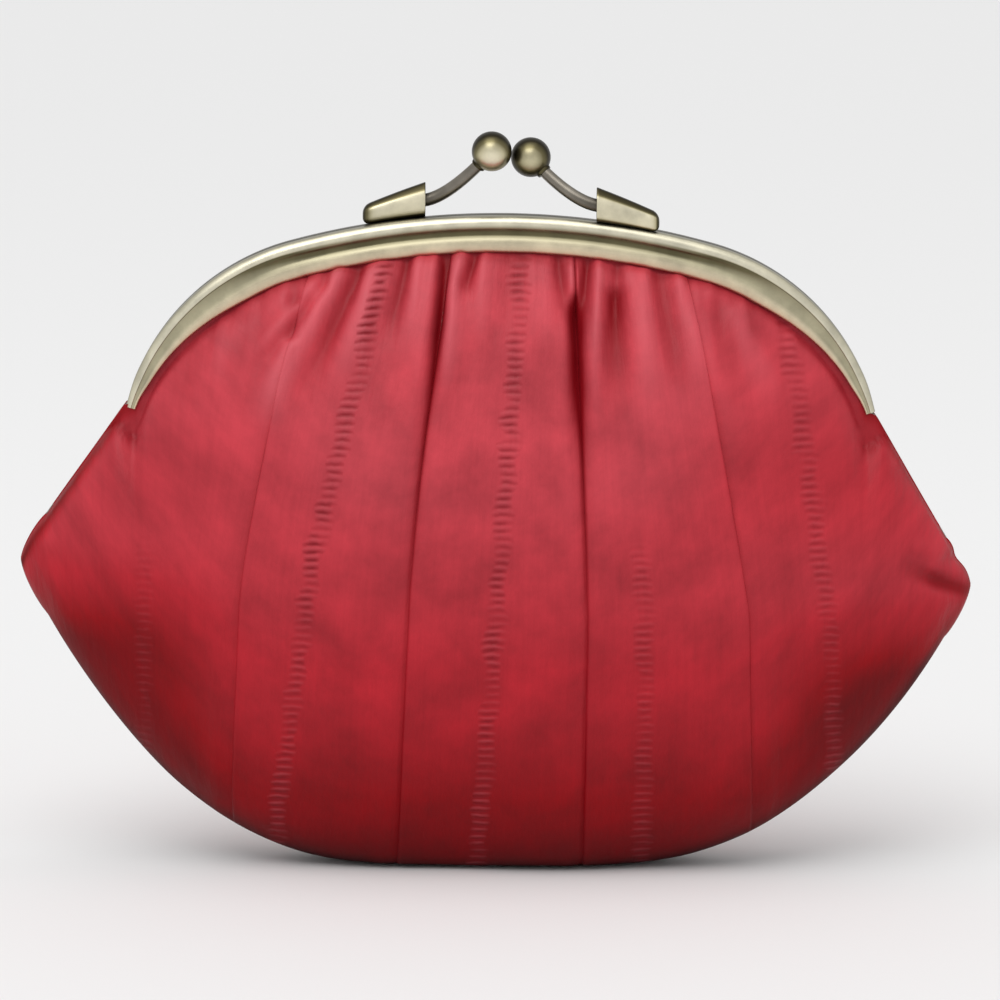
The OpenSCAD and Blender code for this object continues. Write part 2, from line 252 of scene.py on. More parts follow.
def mesh_piece(name, points, quads, flip=False):
    """A mesh object from points in millimetres and four-sided faces."""
    mesh = bpy.data.meshes.new(name)
    quads = quads[:, ::-1] if flip else quads
    mesh.from_pydata((np.asarray(points) * MM).tolist(), [], np.asarray(quads).tolist())
    mesh.polygons.foreach_set("use_smooth", [True] * len(mesh.polygons))
    # cut edges stay crisp, so that the shading of neighbouring strips meets
    used = np.empty(len(mesh.loops), np.int32)
    mesh.loops.foreach_get("edge_index", used)
    cut = np.bincount(used, minlength=len(mesh.edges)) == 1
    mesh.attributes.new("sharp_edge", "BOOLEAN", "EDGE").data.foreach_set("value", cut)
    mesh.update()
    piece = bpy.data.objects.new(name, mesh)
    bpy.context.scene.collection.objects.link(piece)
    return piece


def point_values(piece, **values):
    """Stores numbers on the points of a mesh, for its material to read."""
    for name, value in values.items():
        attribute = piece.data.attributes.new(name, "FLOAT", "POINT")
        attribute.data.foreach_set("value", np.asarray(value, np.float32).ravel())


def surface_uv(piece, u, v):
    """Lays the skin's own millimetres, divided by a hundred, over the mesh."""
    layer = piece.data.uv_layers.new(name="cut")
    loops = np.empty(len(piece.data.loops), np.int32)
    piece.data.loops.foreach_get("vertex_index", loops)
    uv = np.stack([np.asarray(u).ravel()[loops], np.asarray(v).ravel()[loops]], axis=1) / 100
    layer.data.foreach_set("uv", uv.astype(np.float32).ravel())


def normals(x, y, z):
    """Unit normals of a grid surface, pointing to its front."""
    du = [np.gradient(a, axis=0) for a in (x, y, z)]
    dv = [np.gradient(a, axis=1) for a in (x, y, z)]
    n = np.cross(np.stack(du, -1), np.stack(dv, -1))
    return n / np.maximum(np.linalg.norm(n, axis=-1, keepdims=True), 1e-9)


def sheet_grid(c, rows, face, inward):
    """Points of the bag's surface over the columns c, set in by a distance, with folds. Also the
    painted shade of the folds, the columns and the length of skin from the foot to each point."""
    v = np.linspace(0, 1, rows)
    v = 0.5 * v ** 1.7 + 0.5 * v
    cc = np.repeat(np.asarray(c)[:, None], rows, 1)
    z = foot_z(cc) + (head_z(cc) - foot_z(cc)) * v[None, :]
    x, y, z = body(cc, z)
    lift, crease = folds(x, z, cc, face)
    n = normals(x, -y, z)
    y_front = -y
    x, y_front, z = (a + n[..., k] * (lift - inward) for k, a in enumerate((x, y_front, z)))
    # the two corners droop unequally, and the sewn edges lie back to back
    z = z + 2.0 * smooth((-x - 60) / 31) - 1.8 * smooth((x - 60) / 31)
    x = x - 0.9 * smooth((-x - 66) / 24) - 0.5 * smooth((x - 66) / 24)
    # a small nick above the right corner
    x = x - 0.8 * bump(z - 59.6, 1.6) * smooth((x - 80) / 6)
    y_front = np.minimum(y_front, -0.04)
    # pressed flat where it stands
    floor = 0.15 + inward
    over = z - floor
    z = floor + (over + np.sqrt(over ** 2 + 2.2)) / 2 - 0.12
    steps = np.sqrt(np.diff(x, axis=1) ** 2 + np.diff(y_front, axis=1) ** 2
                    + np.diff(z, axis=1) ** 2)
    length = np.concatenate([np.zeros((len(cc), 1)), np.cumsum(steps, axis=1)], axis=1)
    return x, y_front * SIDE[face], z, crease, cc, length


def tone(code):
    """An sRGB hex colour as linear red, green, blue and alpha."""
    parts = [int(code[i:i + 2], 16) / 255 for i in (1, 3, 5)]
    return [p / 12.92 if p <= 0.04045 else ((p + 0.055) / 1.055) ** 2.4 for p in parts] + [1.0]


def add(tree, kind, inputs=None, **settings):
    """Adds a node with its settings, and sets or links its inputs."""
    node = tree.nodes.new("ShaderNode" + kind)
    for key, value in settings.items():
        if key == "stops":
            ramp = node.color_ramp
            while len(ramp.elements) < len(value):
                ramp.elements.new(0.5)
            for element, (at, colour) in zip(ramp.elements, value):
                element.position, element.color = at, colour
        else:
            setattr(node, key, value)
    for key, value in (inputs or {}).items():
        socket = node.inputs[key]
        if isinstance(value, bpy.types.NodeSocket):
            tree.links.new(value, socket)
        else:
            socket.default_value = value
    return node


def new_material(name):
    """An empty material with its shader wired up."""
    material = bpy.data.materials.new(name)
    material.use_nodes = True
    tree = material.node_tree
    tree.nodes.clear()
    shader = add(tree, "BsdfPrincipled")
    tree.links.new(shader.outputs["BSDF"], add(tree, "OutputMaterial").inputs["Surface"])
    return material, tree, shader


def eel_leather():
    """Eel skin, aniline dyed and lightly glazed: thin, smooth and semi-matt, with long fine
    streaks, cloudy colour, painted shade in every fold and towards the foot and edges, painted
    highlights on fold ridges, and a ladder of scars along the back line."""
    material, tree, shader = new_material("aniline_dyed_eel_leather")
    cut = add(tree, "UVMap", uv_map="cut").outputs["UV"]
    across = add(tree, "Attribute", attribute_name="across").outputs["Fac"]
    along = add(tree, "Attribute", attribute_name="along").outputs["Fac"]
    strength = add(tree, "Attribute", attribute_name="strength").outputs["Fac"]
    crease = add(tree, "Attribute", attribute_name="crease").outputs["Fac"]
    depth = add(tree, "Attribute", attribute_name="shade").outputs["Fac"]
    # cloudy dye in patches of about 12 mm, one map unit is 100 mm
    cloud = add(tree, "TexNoise", {"Vector": cut, "Scale": 8.0, "Detail": 4.0, "Roughness": 0.6})
    # streaks about 0.8 mm wide and 20 mm long
    long_way = add(tree, "Mapping", {"Vector": cut, "Scale": (125.0, 5.0, 1.0)})
    streak = add(tree, "TexNoise", {"Vector": long_way.outputs["Vector"],
                                    "Scale": 1.0, "Detail": 3.0})
    # rungs 1.5 mm apart, up to 4 mm wide, broken up by noise, on a line that wanders
    wander = add(tree, "TexNoise", {"Vector": cut, "Scale": 34.0, "Detail": 2.0})
    patchy = add(tree, "TexNoise", {"Vector": cut, "Scale": 14.0, "Detail": 1.0})
    step = add(tree, "Math", {0: along, 1: 2 * math.pi / 1.5}, operation="MULTIPLY").outputs[0]
    shift = add(tree, "Math", {0: wander.outputs["Fac"], 1: 2.6, 2: step},
                operation="MULTIPLY_ADD").outputs[0]
    bowed = add(tree, "Math", {0: across, 1: across}, operation="MULTIPLY").outputs[0]
    crescent = add(tree, "Math", {0: bowed, 1: 0.10, 2: shift},
                   operation="MULTIPLY_ADD").outputs[0]
    rung = add(tree, "Math", {0: crescent}, operation="SINE").outputs[0]
    drift = add(tree, "Math", {0: patchy.outputs["Fac"], 1: 3.0, 2: -1.5},
                operation="MULTIPLY_ADD").outputs[0]
    offset = add(tree, "Math", {0: across, 1: drift}, operation="ADD").outputs[0]
    width = add(tree, "Math", {0: wander.outputs["Fac"], 1: 2.4, 2: 0.7},
                operation="MULTIPLY_ADD").outputs[0]
    ratio = add(tree, "Math", {0: offset, 1: width}, operation="DIVIDE").outputs[0]
    square = add(tree, "Math", {0: ratio, 1: ratio}, operation="MULTIPLY").outputs[0]
    inside = add(tree, "Math", {0: 1.0, 1: square},
                 operation="SUBTRACT", use_clamp=True).outputs[0]
    power = add(tree, "MapRange", {"Value": patchy.outputs["Fac"], "From Min": 0.35,
                                   "From Max": 0.6, "To Min": 0.35, "To Max": 1.0}).outputs[0]
    kept = add(tree, "Math", {0: strength, 1: power}, operation="MULTIPLY").outputs[0]
    ladder = add(tree, "Math", {0: inside, 1: kept}, operation="MULTIPLY").outputs[0]
    rungs = add(tree, "Math", {0: rung, 1: ladder}, operation="MULTIPLY").outputs[0]
    gap = add(tree, "Math", {0: rungs, 1: -0.62, 2: 0.0},
              operation="MULTIPLY_ADD", use_clamp=True).outputs[0]
    trough = add(tree, "Math", {0: ladder, 1: 0.26, 2: gap},
                 operation="MULTIPLY_ADD", use_clamp=True).outputs[0]
    # the dye colour, darkened by painted shade from the crown of the purse to its foot
    dye = add(tree, "ValToRGB", {"Fac": depth},
              stops=[(0.0, tone("#C0424C")), (0.30, tone("#BE3B46")), (0.52, tone("#AE202C")),
                     (0.76, tone("#8C000B")), (0.90, tone("#680006")), (1.0, tone("#420003"))])
    mottle = add(tree, "MapRange", {"Value": cloud.outputs["Fac"], "From Min": 0.3,
                                    "From Max": 0.7, "To Min": 0.72, "To Max": 1.13}).outputs[0]
    mottled = add(tree, "Mix", {"Factor": 1.0, 6: dye.outputs["Color"], 7: mottle},
                  data_type="RGBA", blend_type="MULTIPLY").outputs[2]
    grain = add(tree, "MapRange", {"Value": streak.outputs["Fac"], "From Min": 0.3,
                                   "From Max": 0.7, "To Min": 0.965, "To Max": 1.03}).outputs[0]
    grained = add(tree, "Mix", {"Factor": 1.0, 6: mottled, 7: grain},
                  data_type="RGBA", blend_type="MULTIPLY").outputs[2]
    # painted shade: the colour is darkened in every crease
    crease_shaded = add(tree, "Mix", {"Factor": crease, 6: grained, 7: tone("#82040F")},
                 data_type="RGBA").outputs[2]
    # painted highlight on the ridges of folds, and the rungs rubbed paler
    ridge_highlight = add(tree, "Math", {0: crease, 1: -0.75},
                operation="MULTIPLY", use_clamp=True).outputs[0]
    rungs_and_ridge_highlight = add(tree, "Math", {0: rungs, 1: 0.28, 2: ridge_highlight},
                 operation="MULTIPLY_ADD", use_clamp=True).outputs[0]
    pale_rungs_and_highlights = add(tree, "Mix", {"Factor": rungs_and_ridge_highlight, 6: crease_shaded, 7: tone("#D8646E")},
                  data_type="RGBA").outputs[2]
    lined = add(tree, "Mix", {"Factor": trough, 6: pale_rungs_and_highlights, 7: tone("#7A0C18")},
                data_type="RGBA").outputs[2]
    tree.links.new(lined, shader.inputs["Base Color"])
    # the glaze is worn duller at the foot
    rough = add(tree, "MapRange", {"Value": cloud.outputs["Fac"], "From Min": 0.3,
                                   "From Max": 0.7, "To Min": 0.38, "To Max": 0.54}).outputs[0]
    dulled = add(tree, "MapRange", {"Value": depth, "From Min": 0.7, "From Max": 1.0,
                                    "To Max": 0.30}).outputs[0]
    dull = add(tree, "Math", {0: rough, 1: dulled}, operation="ADD").outputs[0]
    tree.links.new(dull, shader.inputs["Roughness"])
    shader.inputs["IOR"].default_value = 1.5
    shader.inputs["Specular IOR Level"].default_value = 0.17
    # pores 0.5 mm apart, which is coarser than the real 0.2 mm so that they show
    pores = add(tree, "TexNoise", {"Vector": cut, "Scale": 190.0, "Detail": 2.0, "Roughness": 0.7})
    # soft wrinkles 1.7 mm wide and 6 mm long
    wrinkle_way = add(tree, "Mapping", {"Vector": cut, "Scale": (60.0, 16.0, 1.0)})
    wrinkles = add(tree, "TexNoise", {"Vector": wrinkle_way.outputs["Vector"],
                                      "Scale": 1.0, "Detail": 4.0})
    fine = add(tree, "Bump", {"Height": pores.outputs["Fac"], "Strength": 0.10,
                              "Distance": 0.0003})
    creased = add(tree, "Bump", {"Height": wrinkles.outputs["Fac"], "Strength": 0.30,
                                 "Distance": 0.0008, "Normal": fine.outputs["Normal"]})
    stretched = add(tree, "Bump", {"Height": streak.outputs["Fac"], "Strength": 0.06,
                                   "Distance": 0.0004, "Normal": creased.outputs["Normal"]})
    backline = add(tree, "Bump", {"Height": rungs, "Strength": 0.5, "Distance": 0.0003,
                                  "Normal": stretched.outputs["Normal"]})
    tree.links.new(backline.outputs["Normal"], shader.inputs["Normal"])
    return material


LEATHER = eel_leather()


def bend(piece):
    """Bakes the soft piece's placement into its points."""
    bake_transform(piece)


COLUMN_STEP, STRIP_ROWS = 0.55, 190
THIN_LEVELS = 16

for face in SIDE:
    for n in range(1, 6):
        left, right = STRIP_EDGES[n - 1], STRIP_EDGES[n]
        # columns, closer together near the seams
        share = np.linspace(0, 1, int((right - left) / COLUMN_STEP))
        share = share - 0.6 * np.sin(2 * math.pi * share) / (2 * math.pi)
        columns = left + (right - left) * share
        x, y, z, crease, c, length = sheet_grid(columns, STRIP_ROWS, face, 0.0)
        piece = mesh_piece(f"{face}_leather_{n}", np.stack([x, y, z], -1).reshape(-1, 3),
                           grid_faces(*x.shape), flip=(face == "rear"))
        low, high, power, fades = SPINES[n - 1]
        line = low + (high - low) * np.clip(z / 112, 0, 1)
        inner_width = np.abs(x[-1] - x[0])[None, :]
        share = np.repeat(share[:, None], x.shape[1], 1)
        # painted shade over the dye: by height, on the flanks and under the corners, and along the
        # sewn edges
        height = np.interp(z, [0, 3, 12, 32, 66, 100, 124],
                           [1.0, 0.90, 0.79, 0.58, 0.35, 0.10, 0.0])
        flank_shade = 0.13 * smooth((np.abs(c) - 22) / 50) + 0.08 * smooth((c - 10) / 30)
        corner_shade = (0.38 * smooth((np.abs(c) - 42) / 34) * smooth((62 - 4 * np.sign(c) - z) / 26)
                 + flank_shade * smooth((z - 52) / 30))
        rim = (0.4 * bump((edge_z(c) - z) * 0.58, 1.1) * (np.abs(c) > END_COLUMN)
               + 0.12 * bump(z - foot_z(c), 2.4))
        painted_shade = np.minimum(height + corner_shade, np.maximum(0.86, height)) + rim
        point_values(piece, across=(share - line) * inner_width, along=z,
                     strength=power * (1 - smooth((z - fades + 8) / 8)), crease=crease,
                     shade=np.clip(painted_shade, 0, 1))
        # 200 mm apart on the map, so that no two strips show the same stretch of pattern
        surface_uv(piece, c + 200 * n, length)
        skin = piece.modifiers.new("thickness", "SOLIDIFY")
        skin.thickness, skin.offset = SKIN * MM, -1
        # pared thin towards the sewn edge, so that the two faces lie together
        thin = piece.vertex_groups.new(name="pared")
        level = np.clip((np.abs(y).ravel() - 0.1) / 1.1, 0.06, 1)
        level = np.round(level * THIN_LEVELS).astype(int)
        for step in np.unique(level):
            thin.add(np.flatnonzero(level == step).tolist(), step / THIN_LEVELS, "REPLACE")
        skin.vertex_group = "pared"
        piece.data.materials.append(LEATHER)
        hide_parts(f"{face}_strip_{n}", f"{face}_strip_{n}_top")
        bend(piece)

# ---------------------------------------------------------------------------------------------
# Lining. A plain cotton bag of two panels, glued into the channels inside the leather.
# It follows the leather a little slackly.
# ---------------------------------------------------------------------------------------------
LINING_END = 85.0                    # the panels stop short of the corners
LINING_GAP, CLOTH = 0.65, 0.3        # behind the skin, and the thickness of the cloth


def cotton():
    """Plain woven cotton, piece dyed grey: matt, with threads 0.5 mm apart."""
    material, tree, shader = new_material("plain_woven_cotton")
    cut = add(tree, "UVMap", uv_map="cut").outputs["UV"]
    warp = add(tree, "TexWave", {"Vector": cut, "Scale": 62.0, "Distortion": 0.6, "Detail": 1.0},
               bands_direction="X")
    weft = add(tree, "TexWave", {"Vector": cut, "Scale": 62.0, "Distortion": 0.6, "Detail": 1.0},
               bands_direction="Y")
    weave = add(tree, "Math", {0: warp.outputs["Fac"], 1: weft.outputs["Fac"]},
                operation="MULTIPLY").outputs[0]
    slub = add(tree, "TexNoise", {"Vector": cut, "Scale": 30.0, "Detail": 5.0})
    dye = add(tree, "ValToRGB", {"Fac": slub.outputs["Fac"]},
              stops=[(0.3, tone("#8A827C")), (0.7, tone("#A59C94"))])
    cloth = add(tree, "Mix", {"Factor": 0.30, 6: dye.outputs["Color"], 7: weft.outputs["Color"]},
                data_type="RGBA", blend_type="MULTIPLY").outputs[2]
    tree.links.new(cloth, shader.inputs["Base Color"])
    shader.inputs["Roughness"].default_value = 0.9
    shader.inputs["Sheen Weight"].default_value = 0.25
    shader.inputs["Sheen Roughness"].default_value = 0.6
    threads = add(tree, "Bump", {"Height": weave, "Strength": 0.5, "Distance": 0.0002})
    tree.links.new(threads.outputs["Normal"], shader.inputs["Normal"])
    return material


COTTON = cotton()
for face in SIDE:
    columns = np.linspace(-LINING_END, LINING_END, 150)
    x, y, z, _, c, length = sheet_grid(columns, 110, face, SKIN + LINING_GAP)
    piece = mesh_piece(f"{face}_cotton_lining", np.stack([x, y, z], -1).reshape(-1, 3),
                       grid_faces(*x.shape), flip=(face == "rear"))
    surface_uv(piece, c, length)
    cloth = piece.modifiers.new("thickness", "SOLIDIFY")
    cloth.thickness, cloth.offset = CLOTH * MM, -1
    piece.data.materials.append(COTTON)
    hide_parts(f"{face}_lining", f"{face}_lining_top")
    bend(piece)

# ---------------------------------------------------------------------------------------------
# Frame halves. Each is a strip of brass, roll formed into a channel with a beaded rim and a cove,
# bent to the arch, and given a flat ear at each end for the hinge. Plated an antique pale brass.
# ---------------------------------------------------------------------------------------------
HINGE_Z = 82.0                       # height of the rivets
PARTING = 0.1                        # gap from the middle plane to the rim of each half
RIM_W = 1.2                          # width of the bead, which stays while the face narrows
EAR_X = {"front": 67.6, "rear": 66.6}   # the front ears lie outside the rear ones
EAR_T, EAR_R, EAR_HOLE = 0.8, 2.5, 1.05


def arc(x, y, r, a, b, n):
    """Points on an arc about (x, y), from angle a to angle b in degrees."""
    t = np.radians(np.linspace(a, b, n))
    return np.stack([x + r * np.cos(t), y + r * np.sin(t)], 1)


def antique_brass(name, stops, rough, attribute):
    """Brass, plated and antiqued: the darkened plate is rubbed back to pale metal on the high
    places and stays brown in the hollows, with fine rubbing marks. Its colour is read from a point
    attribute, which in places also carries painted shade and a painted reflection."""
    material, tree, shader = new_material(name)
    place = add(tree, "TexCoord").outputs["Object"]
    # one unit here is a metre: clouds 5 mm across, and rubbing marks 0.7 mm apart
    worn = add(tree, "Attribute", attribute_name=attribute).outputs["Fac"]
    cloud = add(tree, "TexNoise", {"Vector": place, "Scale": 200.0, "Detail": 5.0,
                                   "Roughness": 0.6})
    plate = add(tree, "ValToRGB", {"Fac": worn}, stops=[(at, tone(code)) for at, code in stops])
    mottle = add(tree, "MapRange", {"Value": cloud.outputs["Fac"], "From Min": 0.3,
                                    "From Max": 0.7, "To Min": 0.78, "To Max": 1.10}).outputs[0]
    mottled = add(tree, "Mix", {"Factor": 1.0, 6: plate.outputs["Color"], 7: mottle},
                  data_type="RGBA", blend_type="MULTIPLY").outputs[2]
    tree.links.new(mottled, shader.inputs["Base Color"])
    shader.inputs["Metallic"].default_value = 1.0
    roughness = add(tree, "MapRange", {"Value": cloud.outputs["Fac"], "From Min": 0.3,
                                       "From Max": 0.7, "To Min": rough,
                                       "To Max": rough + 0.12}).outputs[0]
    tree.links.new(roughness, shader.inputs["Roughness"])
    rub = add(tree, "TexNoise", {"Vector": place, "Scale": 1500.0, "Detail": 3.0})
    rubbed = add(tree, "Bump", {"Height": rub.outputs["Fac"], "Strength": 0.06, "Distance": 0.0001})
    tree.links.new(rubbed.outputs["Normal"], shader.inputs["Normal"])
    return material


# across the channel: the edge at the parting, painted dark as shade; the bead; the dark cove; the
# pale face, tinted pink as a painted reflection of the leather; the inside
CHANNEL_BRASS = antique_brass("antiqued_pale_brass_channel", [
    (0.00, "#2E2A22"), (0.07, "#6E6A5A"), (0.14, "#D6D0B8"), (0.27, "#E2DCC6"),
    (0.36, "#9A947A"), (0.43, "#5E5840"), (0.52, "#6C664C"), (0.61, "#B5AE92"),
    (0.72, "#DACDB0"), (0.88, "#D6BFA2"), (0.93, "#A08468"), (1.00, "#2A2418")], 0.34, "band")
EAR_BAND, RIVET_BAND = 0.43, 0.62    # the ears keep their dark plate, the rivets are rubbed


def arch_stations(step=1.4):
    """Centre, radius and angle from the vertical of each station along the arch, left to right."""
    shoulder = np.arange(SHOULDER_DEG, CROWN_DEG, -step)
    crown = np.linspace(-CROWN_DEG, CROWN_DEG, 44)
    left = [(-SHOULDER_X, SHOULDER_Z, SHOULDER_R, -a) for a in shoulder]
    middle = [(0.0, CROWN_Z, CROWN_R, a) for a in crown]
    right = [(SHOULDER_X, SHOULDER_Z, SHOULDER_R, a) for a in shoulder[::-1]]
    return left + middle + right


def on_arch(station, inset, forward):
    """Points in the plane of a station, set in from the arch and brought forward."""
    cx, cz, r, a = station
    a = math.radians(a)
    return np.stack([cx + (r - inset) * math.sin(a), -forward, cz + (r - inset) * math.cos(a)], -1)


def closed_loops(rings, cap=True):
    """Faces between closed rings of equal size, with one face over each end."""
    count, size = len(rings), len(rings[0])
    i, j = np.meshgrid(np.arange(count - 1), np.arange(size), indexing="ij")
    a, b = (i * size + j).ravel(), (i * size + (j + 1) % size).ravel()
    faces = np.stack([a, b, b + size, a + size], 1).tolist()
    if cap:
        faces += [list(range(size))[::-1], [(count - 1) * size + k for k in range(size)]]
    return faces


def solid_piece(name, points, faces, angle=40):
    """A closed mesh object, with its faces turned outward."""
    mesh = bpy.data.meshes.new(name)
    mesh.from_pydata((np.asarray(points) * MM).tolist(), [], faces)
    work = bmesh.new()
    work.from_mesh(mesh)
    bmesh.ops.recalc_face_normals(work, faces=work.faces)
    work.to_mesh(mesh)
    work.free()
    mesh.polygons.foreach_set("use_smooth", [True] * len(mesh.polygons))
    mesh.set_sharp_from_angle(angle=math.radians(angle))
    mesh.update()
    piece = bpy.data.objects.new(name, mesh)
    bpy.context.scene.collection.objects.link(piece)
    return piece


# The channel's section as (inset from the arch, distance in front of the middle plane). Its
# outside is the rim's bead, the cove's floor and the long face down to the rounded lip.
bead = np.radians(np.linspace(0, 125, 14))
sweep = np.linspace(0, 0.88, 9)[1:]
OUTSIDE = np.concatenate([
    [[0.0, 1.0]],
    np.stack([1.5 - 1.5 * np.cos(bead), 2.9 + 1.5 * np.sin(bead)], 1),
    arc(3.2, 4.868, 1.118, 225, 315, 10),
    np.stack([4.04 + 2.76 * sweep, 4.10 + 0.38 * np.sin(math.pi * sweep) ** 0.8], 1),
    arc(6.42, 3.83, 0.38, 45, -90, 7),
])
PROFILE = np.concatenate([[[LIP_W, PARTING], [0.35, PARTING]],
                          arc(0.35, PARTING + 0.35, 0.35, -115, -180, 4),
                          OUTSIDE, [[1.0, 3.45], [1.0, 0.8], [LIP_W, 0.8]]])
# where each point of the section lies on the scale of the plate's colours
BAND = np.clip(0.10 + PROFILE[:, 0] / LIP_W * 0.82, 0, 0.92)
# the parting edge is painted dark, as painted shade in the gap between the two halves
BAND[:5] = [0.95, 0.0, 0.0, 0.0, 0.04]
BAND[5:8] = [0.05, 0.07, 0.11]
BAND[-5:] = [0.97, 0.98, 1.0, 1.0, 0.98]


def ear_plate(mirror, face):
    """The flat ear of a hinge, with its hole."""
    round_end = arc(0, 0, EAR_R, 140, 380, 26)
    neck = np.array([[1.2, 2.6], [-0.9, 4.8], [-0.9, 7.6], [-2.3, 7.6], [-2.3, 3.6]])
    outline = np.concatenate([round_end, neck])
    hole = arc(0, 0, EAR_HOLE, 140, 500, len(outline) + 1)[:-1]
    walls = ((outline, 0.0), (outline, EAR_T), (hole, EAR_T), (hole, 0.0), (outline, 0.0))
    return [np.stack([np.full(len(ring), mirror * (EAR_X[face] + at)),
                      SIDE[face] * ring[:, 0], HINGE_Z + ring[:, 1]], 1) for ring, at in walls]


def reach(station):
    """How far a station of the arch lies from the middle."""
    return abs(station[0] + station[2] * math.sin(math.radians(station[3])))


for face, side in SIDE.items():
    rings = []
    section_in, section_out = PROFILE.T
    for station in arch_stations():
        # the face narrows and flattens, and the cove fills up, towards the hinges
        edge = reach(station)
        narrow = float((lip_inset(edge) - RIM_W) / (LIP_W - RIM_W))
        inset = np.where(section_in > RIM_W, RIM_W + (section_in - RIM_W) * narrow, section_in)
        forward = np.where((section_in > 1.5) & (section_out > 3.5),
                           4.35 + (section_out - 4.35) * (0.25 + 0.75 * narrow), section_out)
        hollow = (section_in > 1.9) & (section_in < 4.2) & (section_out > 3.5)
        filled = forward + (4.22 - forward) * 0.8 * smooth((edge - 22) / 36)
        forward = np.where(hollow, filled, forward)
        # the whole section is pinched over the last 9 degrees
        tip = float(smooth((SHOULDER_DEG - abs(station[3])) / 9))
        inset = 0.8 + (inset - 0.8) * (0.74 + 0.26 * tip)
        forward = PARTING + (forward - PARTING) * (0.80 + 0.20 * tip)
        rings.append(on_arch(station, inset, forward * side))
    points, faces = np.concatenate(rings), closed_loops(rings)
    own = BAND.copy()
    if face == "rear":
        # painted shade: the rear half's rim is painted darker than the front's
        own[3:9] = [0.02, 0.03, 0.03, 0.04, 0.05, 0.09]
    # the cove keeps less of its dark plate towards the hinges
    away = np.array([[reach(station)] for station in arch_stations()])
    cove = (own > 0.32) & (own < 0.60)
    band = np.where(cove[None, :], own + (0.62 - own) * 0.92 * smooth((away - 26) / 36), own)
    band = band.ravel()
    for mirror in (-1, 1):
        ear = ear_plate(mirror, face)
        base = len(points)
        faces = faces + [[k + base for k in f] for f in closed_loops(ear, cap=False)]
        points = np.concatenate([points, *ear])
        band = np.concatenate([band, np.full(sum(len(r) for r in ear), EAR_BAND)])
    piece = solid_piece(f"{face}_brass_channel", points, faces, 38)
    point_values(piece, band=band)
    piece.data.materials.append(CHANNEL_BRASS)
    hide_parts(f"{face}_frame")
    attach(piece, f"{face}_half")

# ---------------------------------------------------------------------------------------------
# Hinge rivets. Two short brass rivets with domed heads, one at each side. Each is put through the
# holes of a front and a rear ear and headed over, so that the ears still turn on it.
# ---------------------------------------------------------------------------------------------
RIVET_X = 66.6                       # the inner face of the inner ear
SHANK_R, HEAD_R, DOME = 1.0, 1.9, 0.6
INNER, OUTER = -0.05, 1.85           # where the two heads start, from that face


def turned(name, profile, origin, axis, count=32, angle=35):
    """A solid of revolution from (distance along the axis, radius) points."""
    axis = np.asarray(axis, float) / np.linalg.norm(axis)
    other = np.cross(axis, [0, 0, 1]) if abs(axis[2]) < 0.9 else np.cross(axis, [0, 1, 0])
    other /= np.linalg.norm(other)
    third = np.cross(axis, other)
    t = np.linspace(0, 2 * math.pi, count, endpoint=False)
    round_way = np.cos(t)[:, None] * other + np.sin(t)[:, None] * third
    rings = [np.asarray(origin) + axis * a + r * round_way for a, r in profile]
    return solid_piece(name, np.concatenate(rings), closed_loops(rings), angle)


for side, word in ((-1, "left"), (1, "right")):
    dome = [(DOME * math.sin(t), 0.02 + 1.88 * math.cos(t)) for t in np.linspace(math.pi / 2, 0, 9)]
    profile = [(INNER - a, r) for a, r in dome]
    profile += [(INNER, HEAD_R), (INNER, SHANK_R), (OUTER, SHANK_R), (OUTER, HEAD_R)]
    profile += [(OUTER + a, r) for a, r in dome[::-1]]
    piece = turned(f"{word}_rivet", profile, (side * RIVET_X, 0, HINGE_Z), (side, 0, 0))
    point_values(piece, band=np.full(len(piece.data.vertices), RIVET_BAND))
    piece.data.materials.append(CHANNEL_BRASS)
    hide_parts(f"{word}_hinge_rivet")
    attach(piece, "pouch")

# ---------------------------------------------------------------------------------------------
# Paper cords. Kraft paper twisted into a flat cord, one in each channel. It is pushed in behind
# the cloth with glue, and wedges the leather and the lining against the brass.
# ---------------------------------------------------------------------------------------------
CORD_INSET, CORD_FORWARD = 3.1, 1.22     # the middle of the cord in the channel's section
CORD_W, CORD_T, CORD_TWIST = 1.3, 0.34, 0.10   # half its width, half its thickness, its ridges
CORD_DEG = 61                        # it stops short of the hinges


def twisted_paper():
    """Kraft paper twisted into cord: matt tan with fibres 1 mm long, and the twist in the mesh."""
    material, tree, shader = new_material("twisted_kraft_paper")
    place = add(tree, "TexCoord").outputs["Object"]
    fibre = add(tree, "TexNoise", {"Vector": place, "Scale": 900.0, "Detail": 4.0})
    tan = add(tree, "ValToRGB", {"Fac": fibre.outputs["Fac"]},
              stops=[(0.3, tone("#8C7450")), (0.7, tone("#BCA278"))])
    tree.links.new(tan.outputs["Color"], shader.inputs["Base Color"])
    shader.inputs["Roughness"].default_value = 0.85
    grain = add(tree, "Bump", {"Height": fibre.outputs["Fac"], "Strength": 0.5, "Distance": 0.0002})
    tree.links.new(grain.outputs["Normal"], shader.inputs["Normal"])
    return material


PAPER = twisted_paper()
for face, side in SIDE.items():
    rings = []
    t = np.linspace(0, 2 * math.pi, 14, endpoint=False)
    for k, station in enumerate([s for s in arch_stations(step=0.7) if abs(s[3]) < CORD_DEG]):
        r = 1 + CORD_TWIST * np.cos(2 * (t - 0.55 * k))
        rings.append(on_arch(station, CORD_INSET + CORD_W * r * np.cos(t),
                             side * (CORD_FORWARD + CORD_T * r * np.sin(t))))
    faces = closed_loops(rings)
    if face == "front":
        faces = [f[::-1] for f in faces]
    piece = solid_piece(f"{face}_paper_cord", np.concatenate(rings), faces, 60)
    piece.data.materials.append(PAPER)
    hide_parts(f"{face}_packing_cord")
    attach(piece, f"{face}_half")

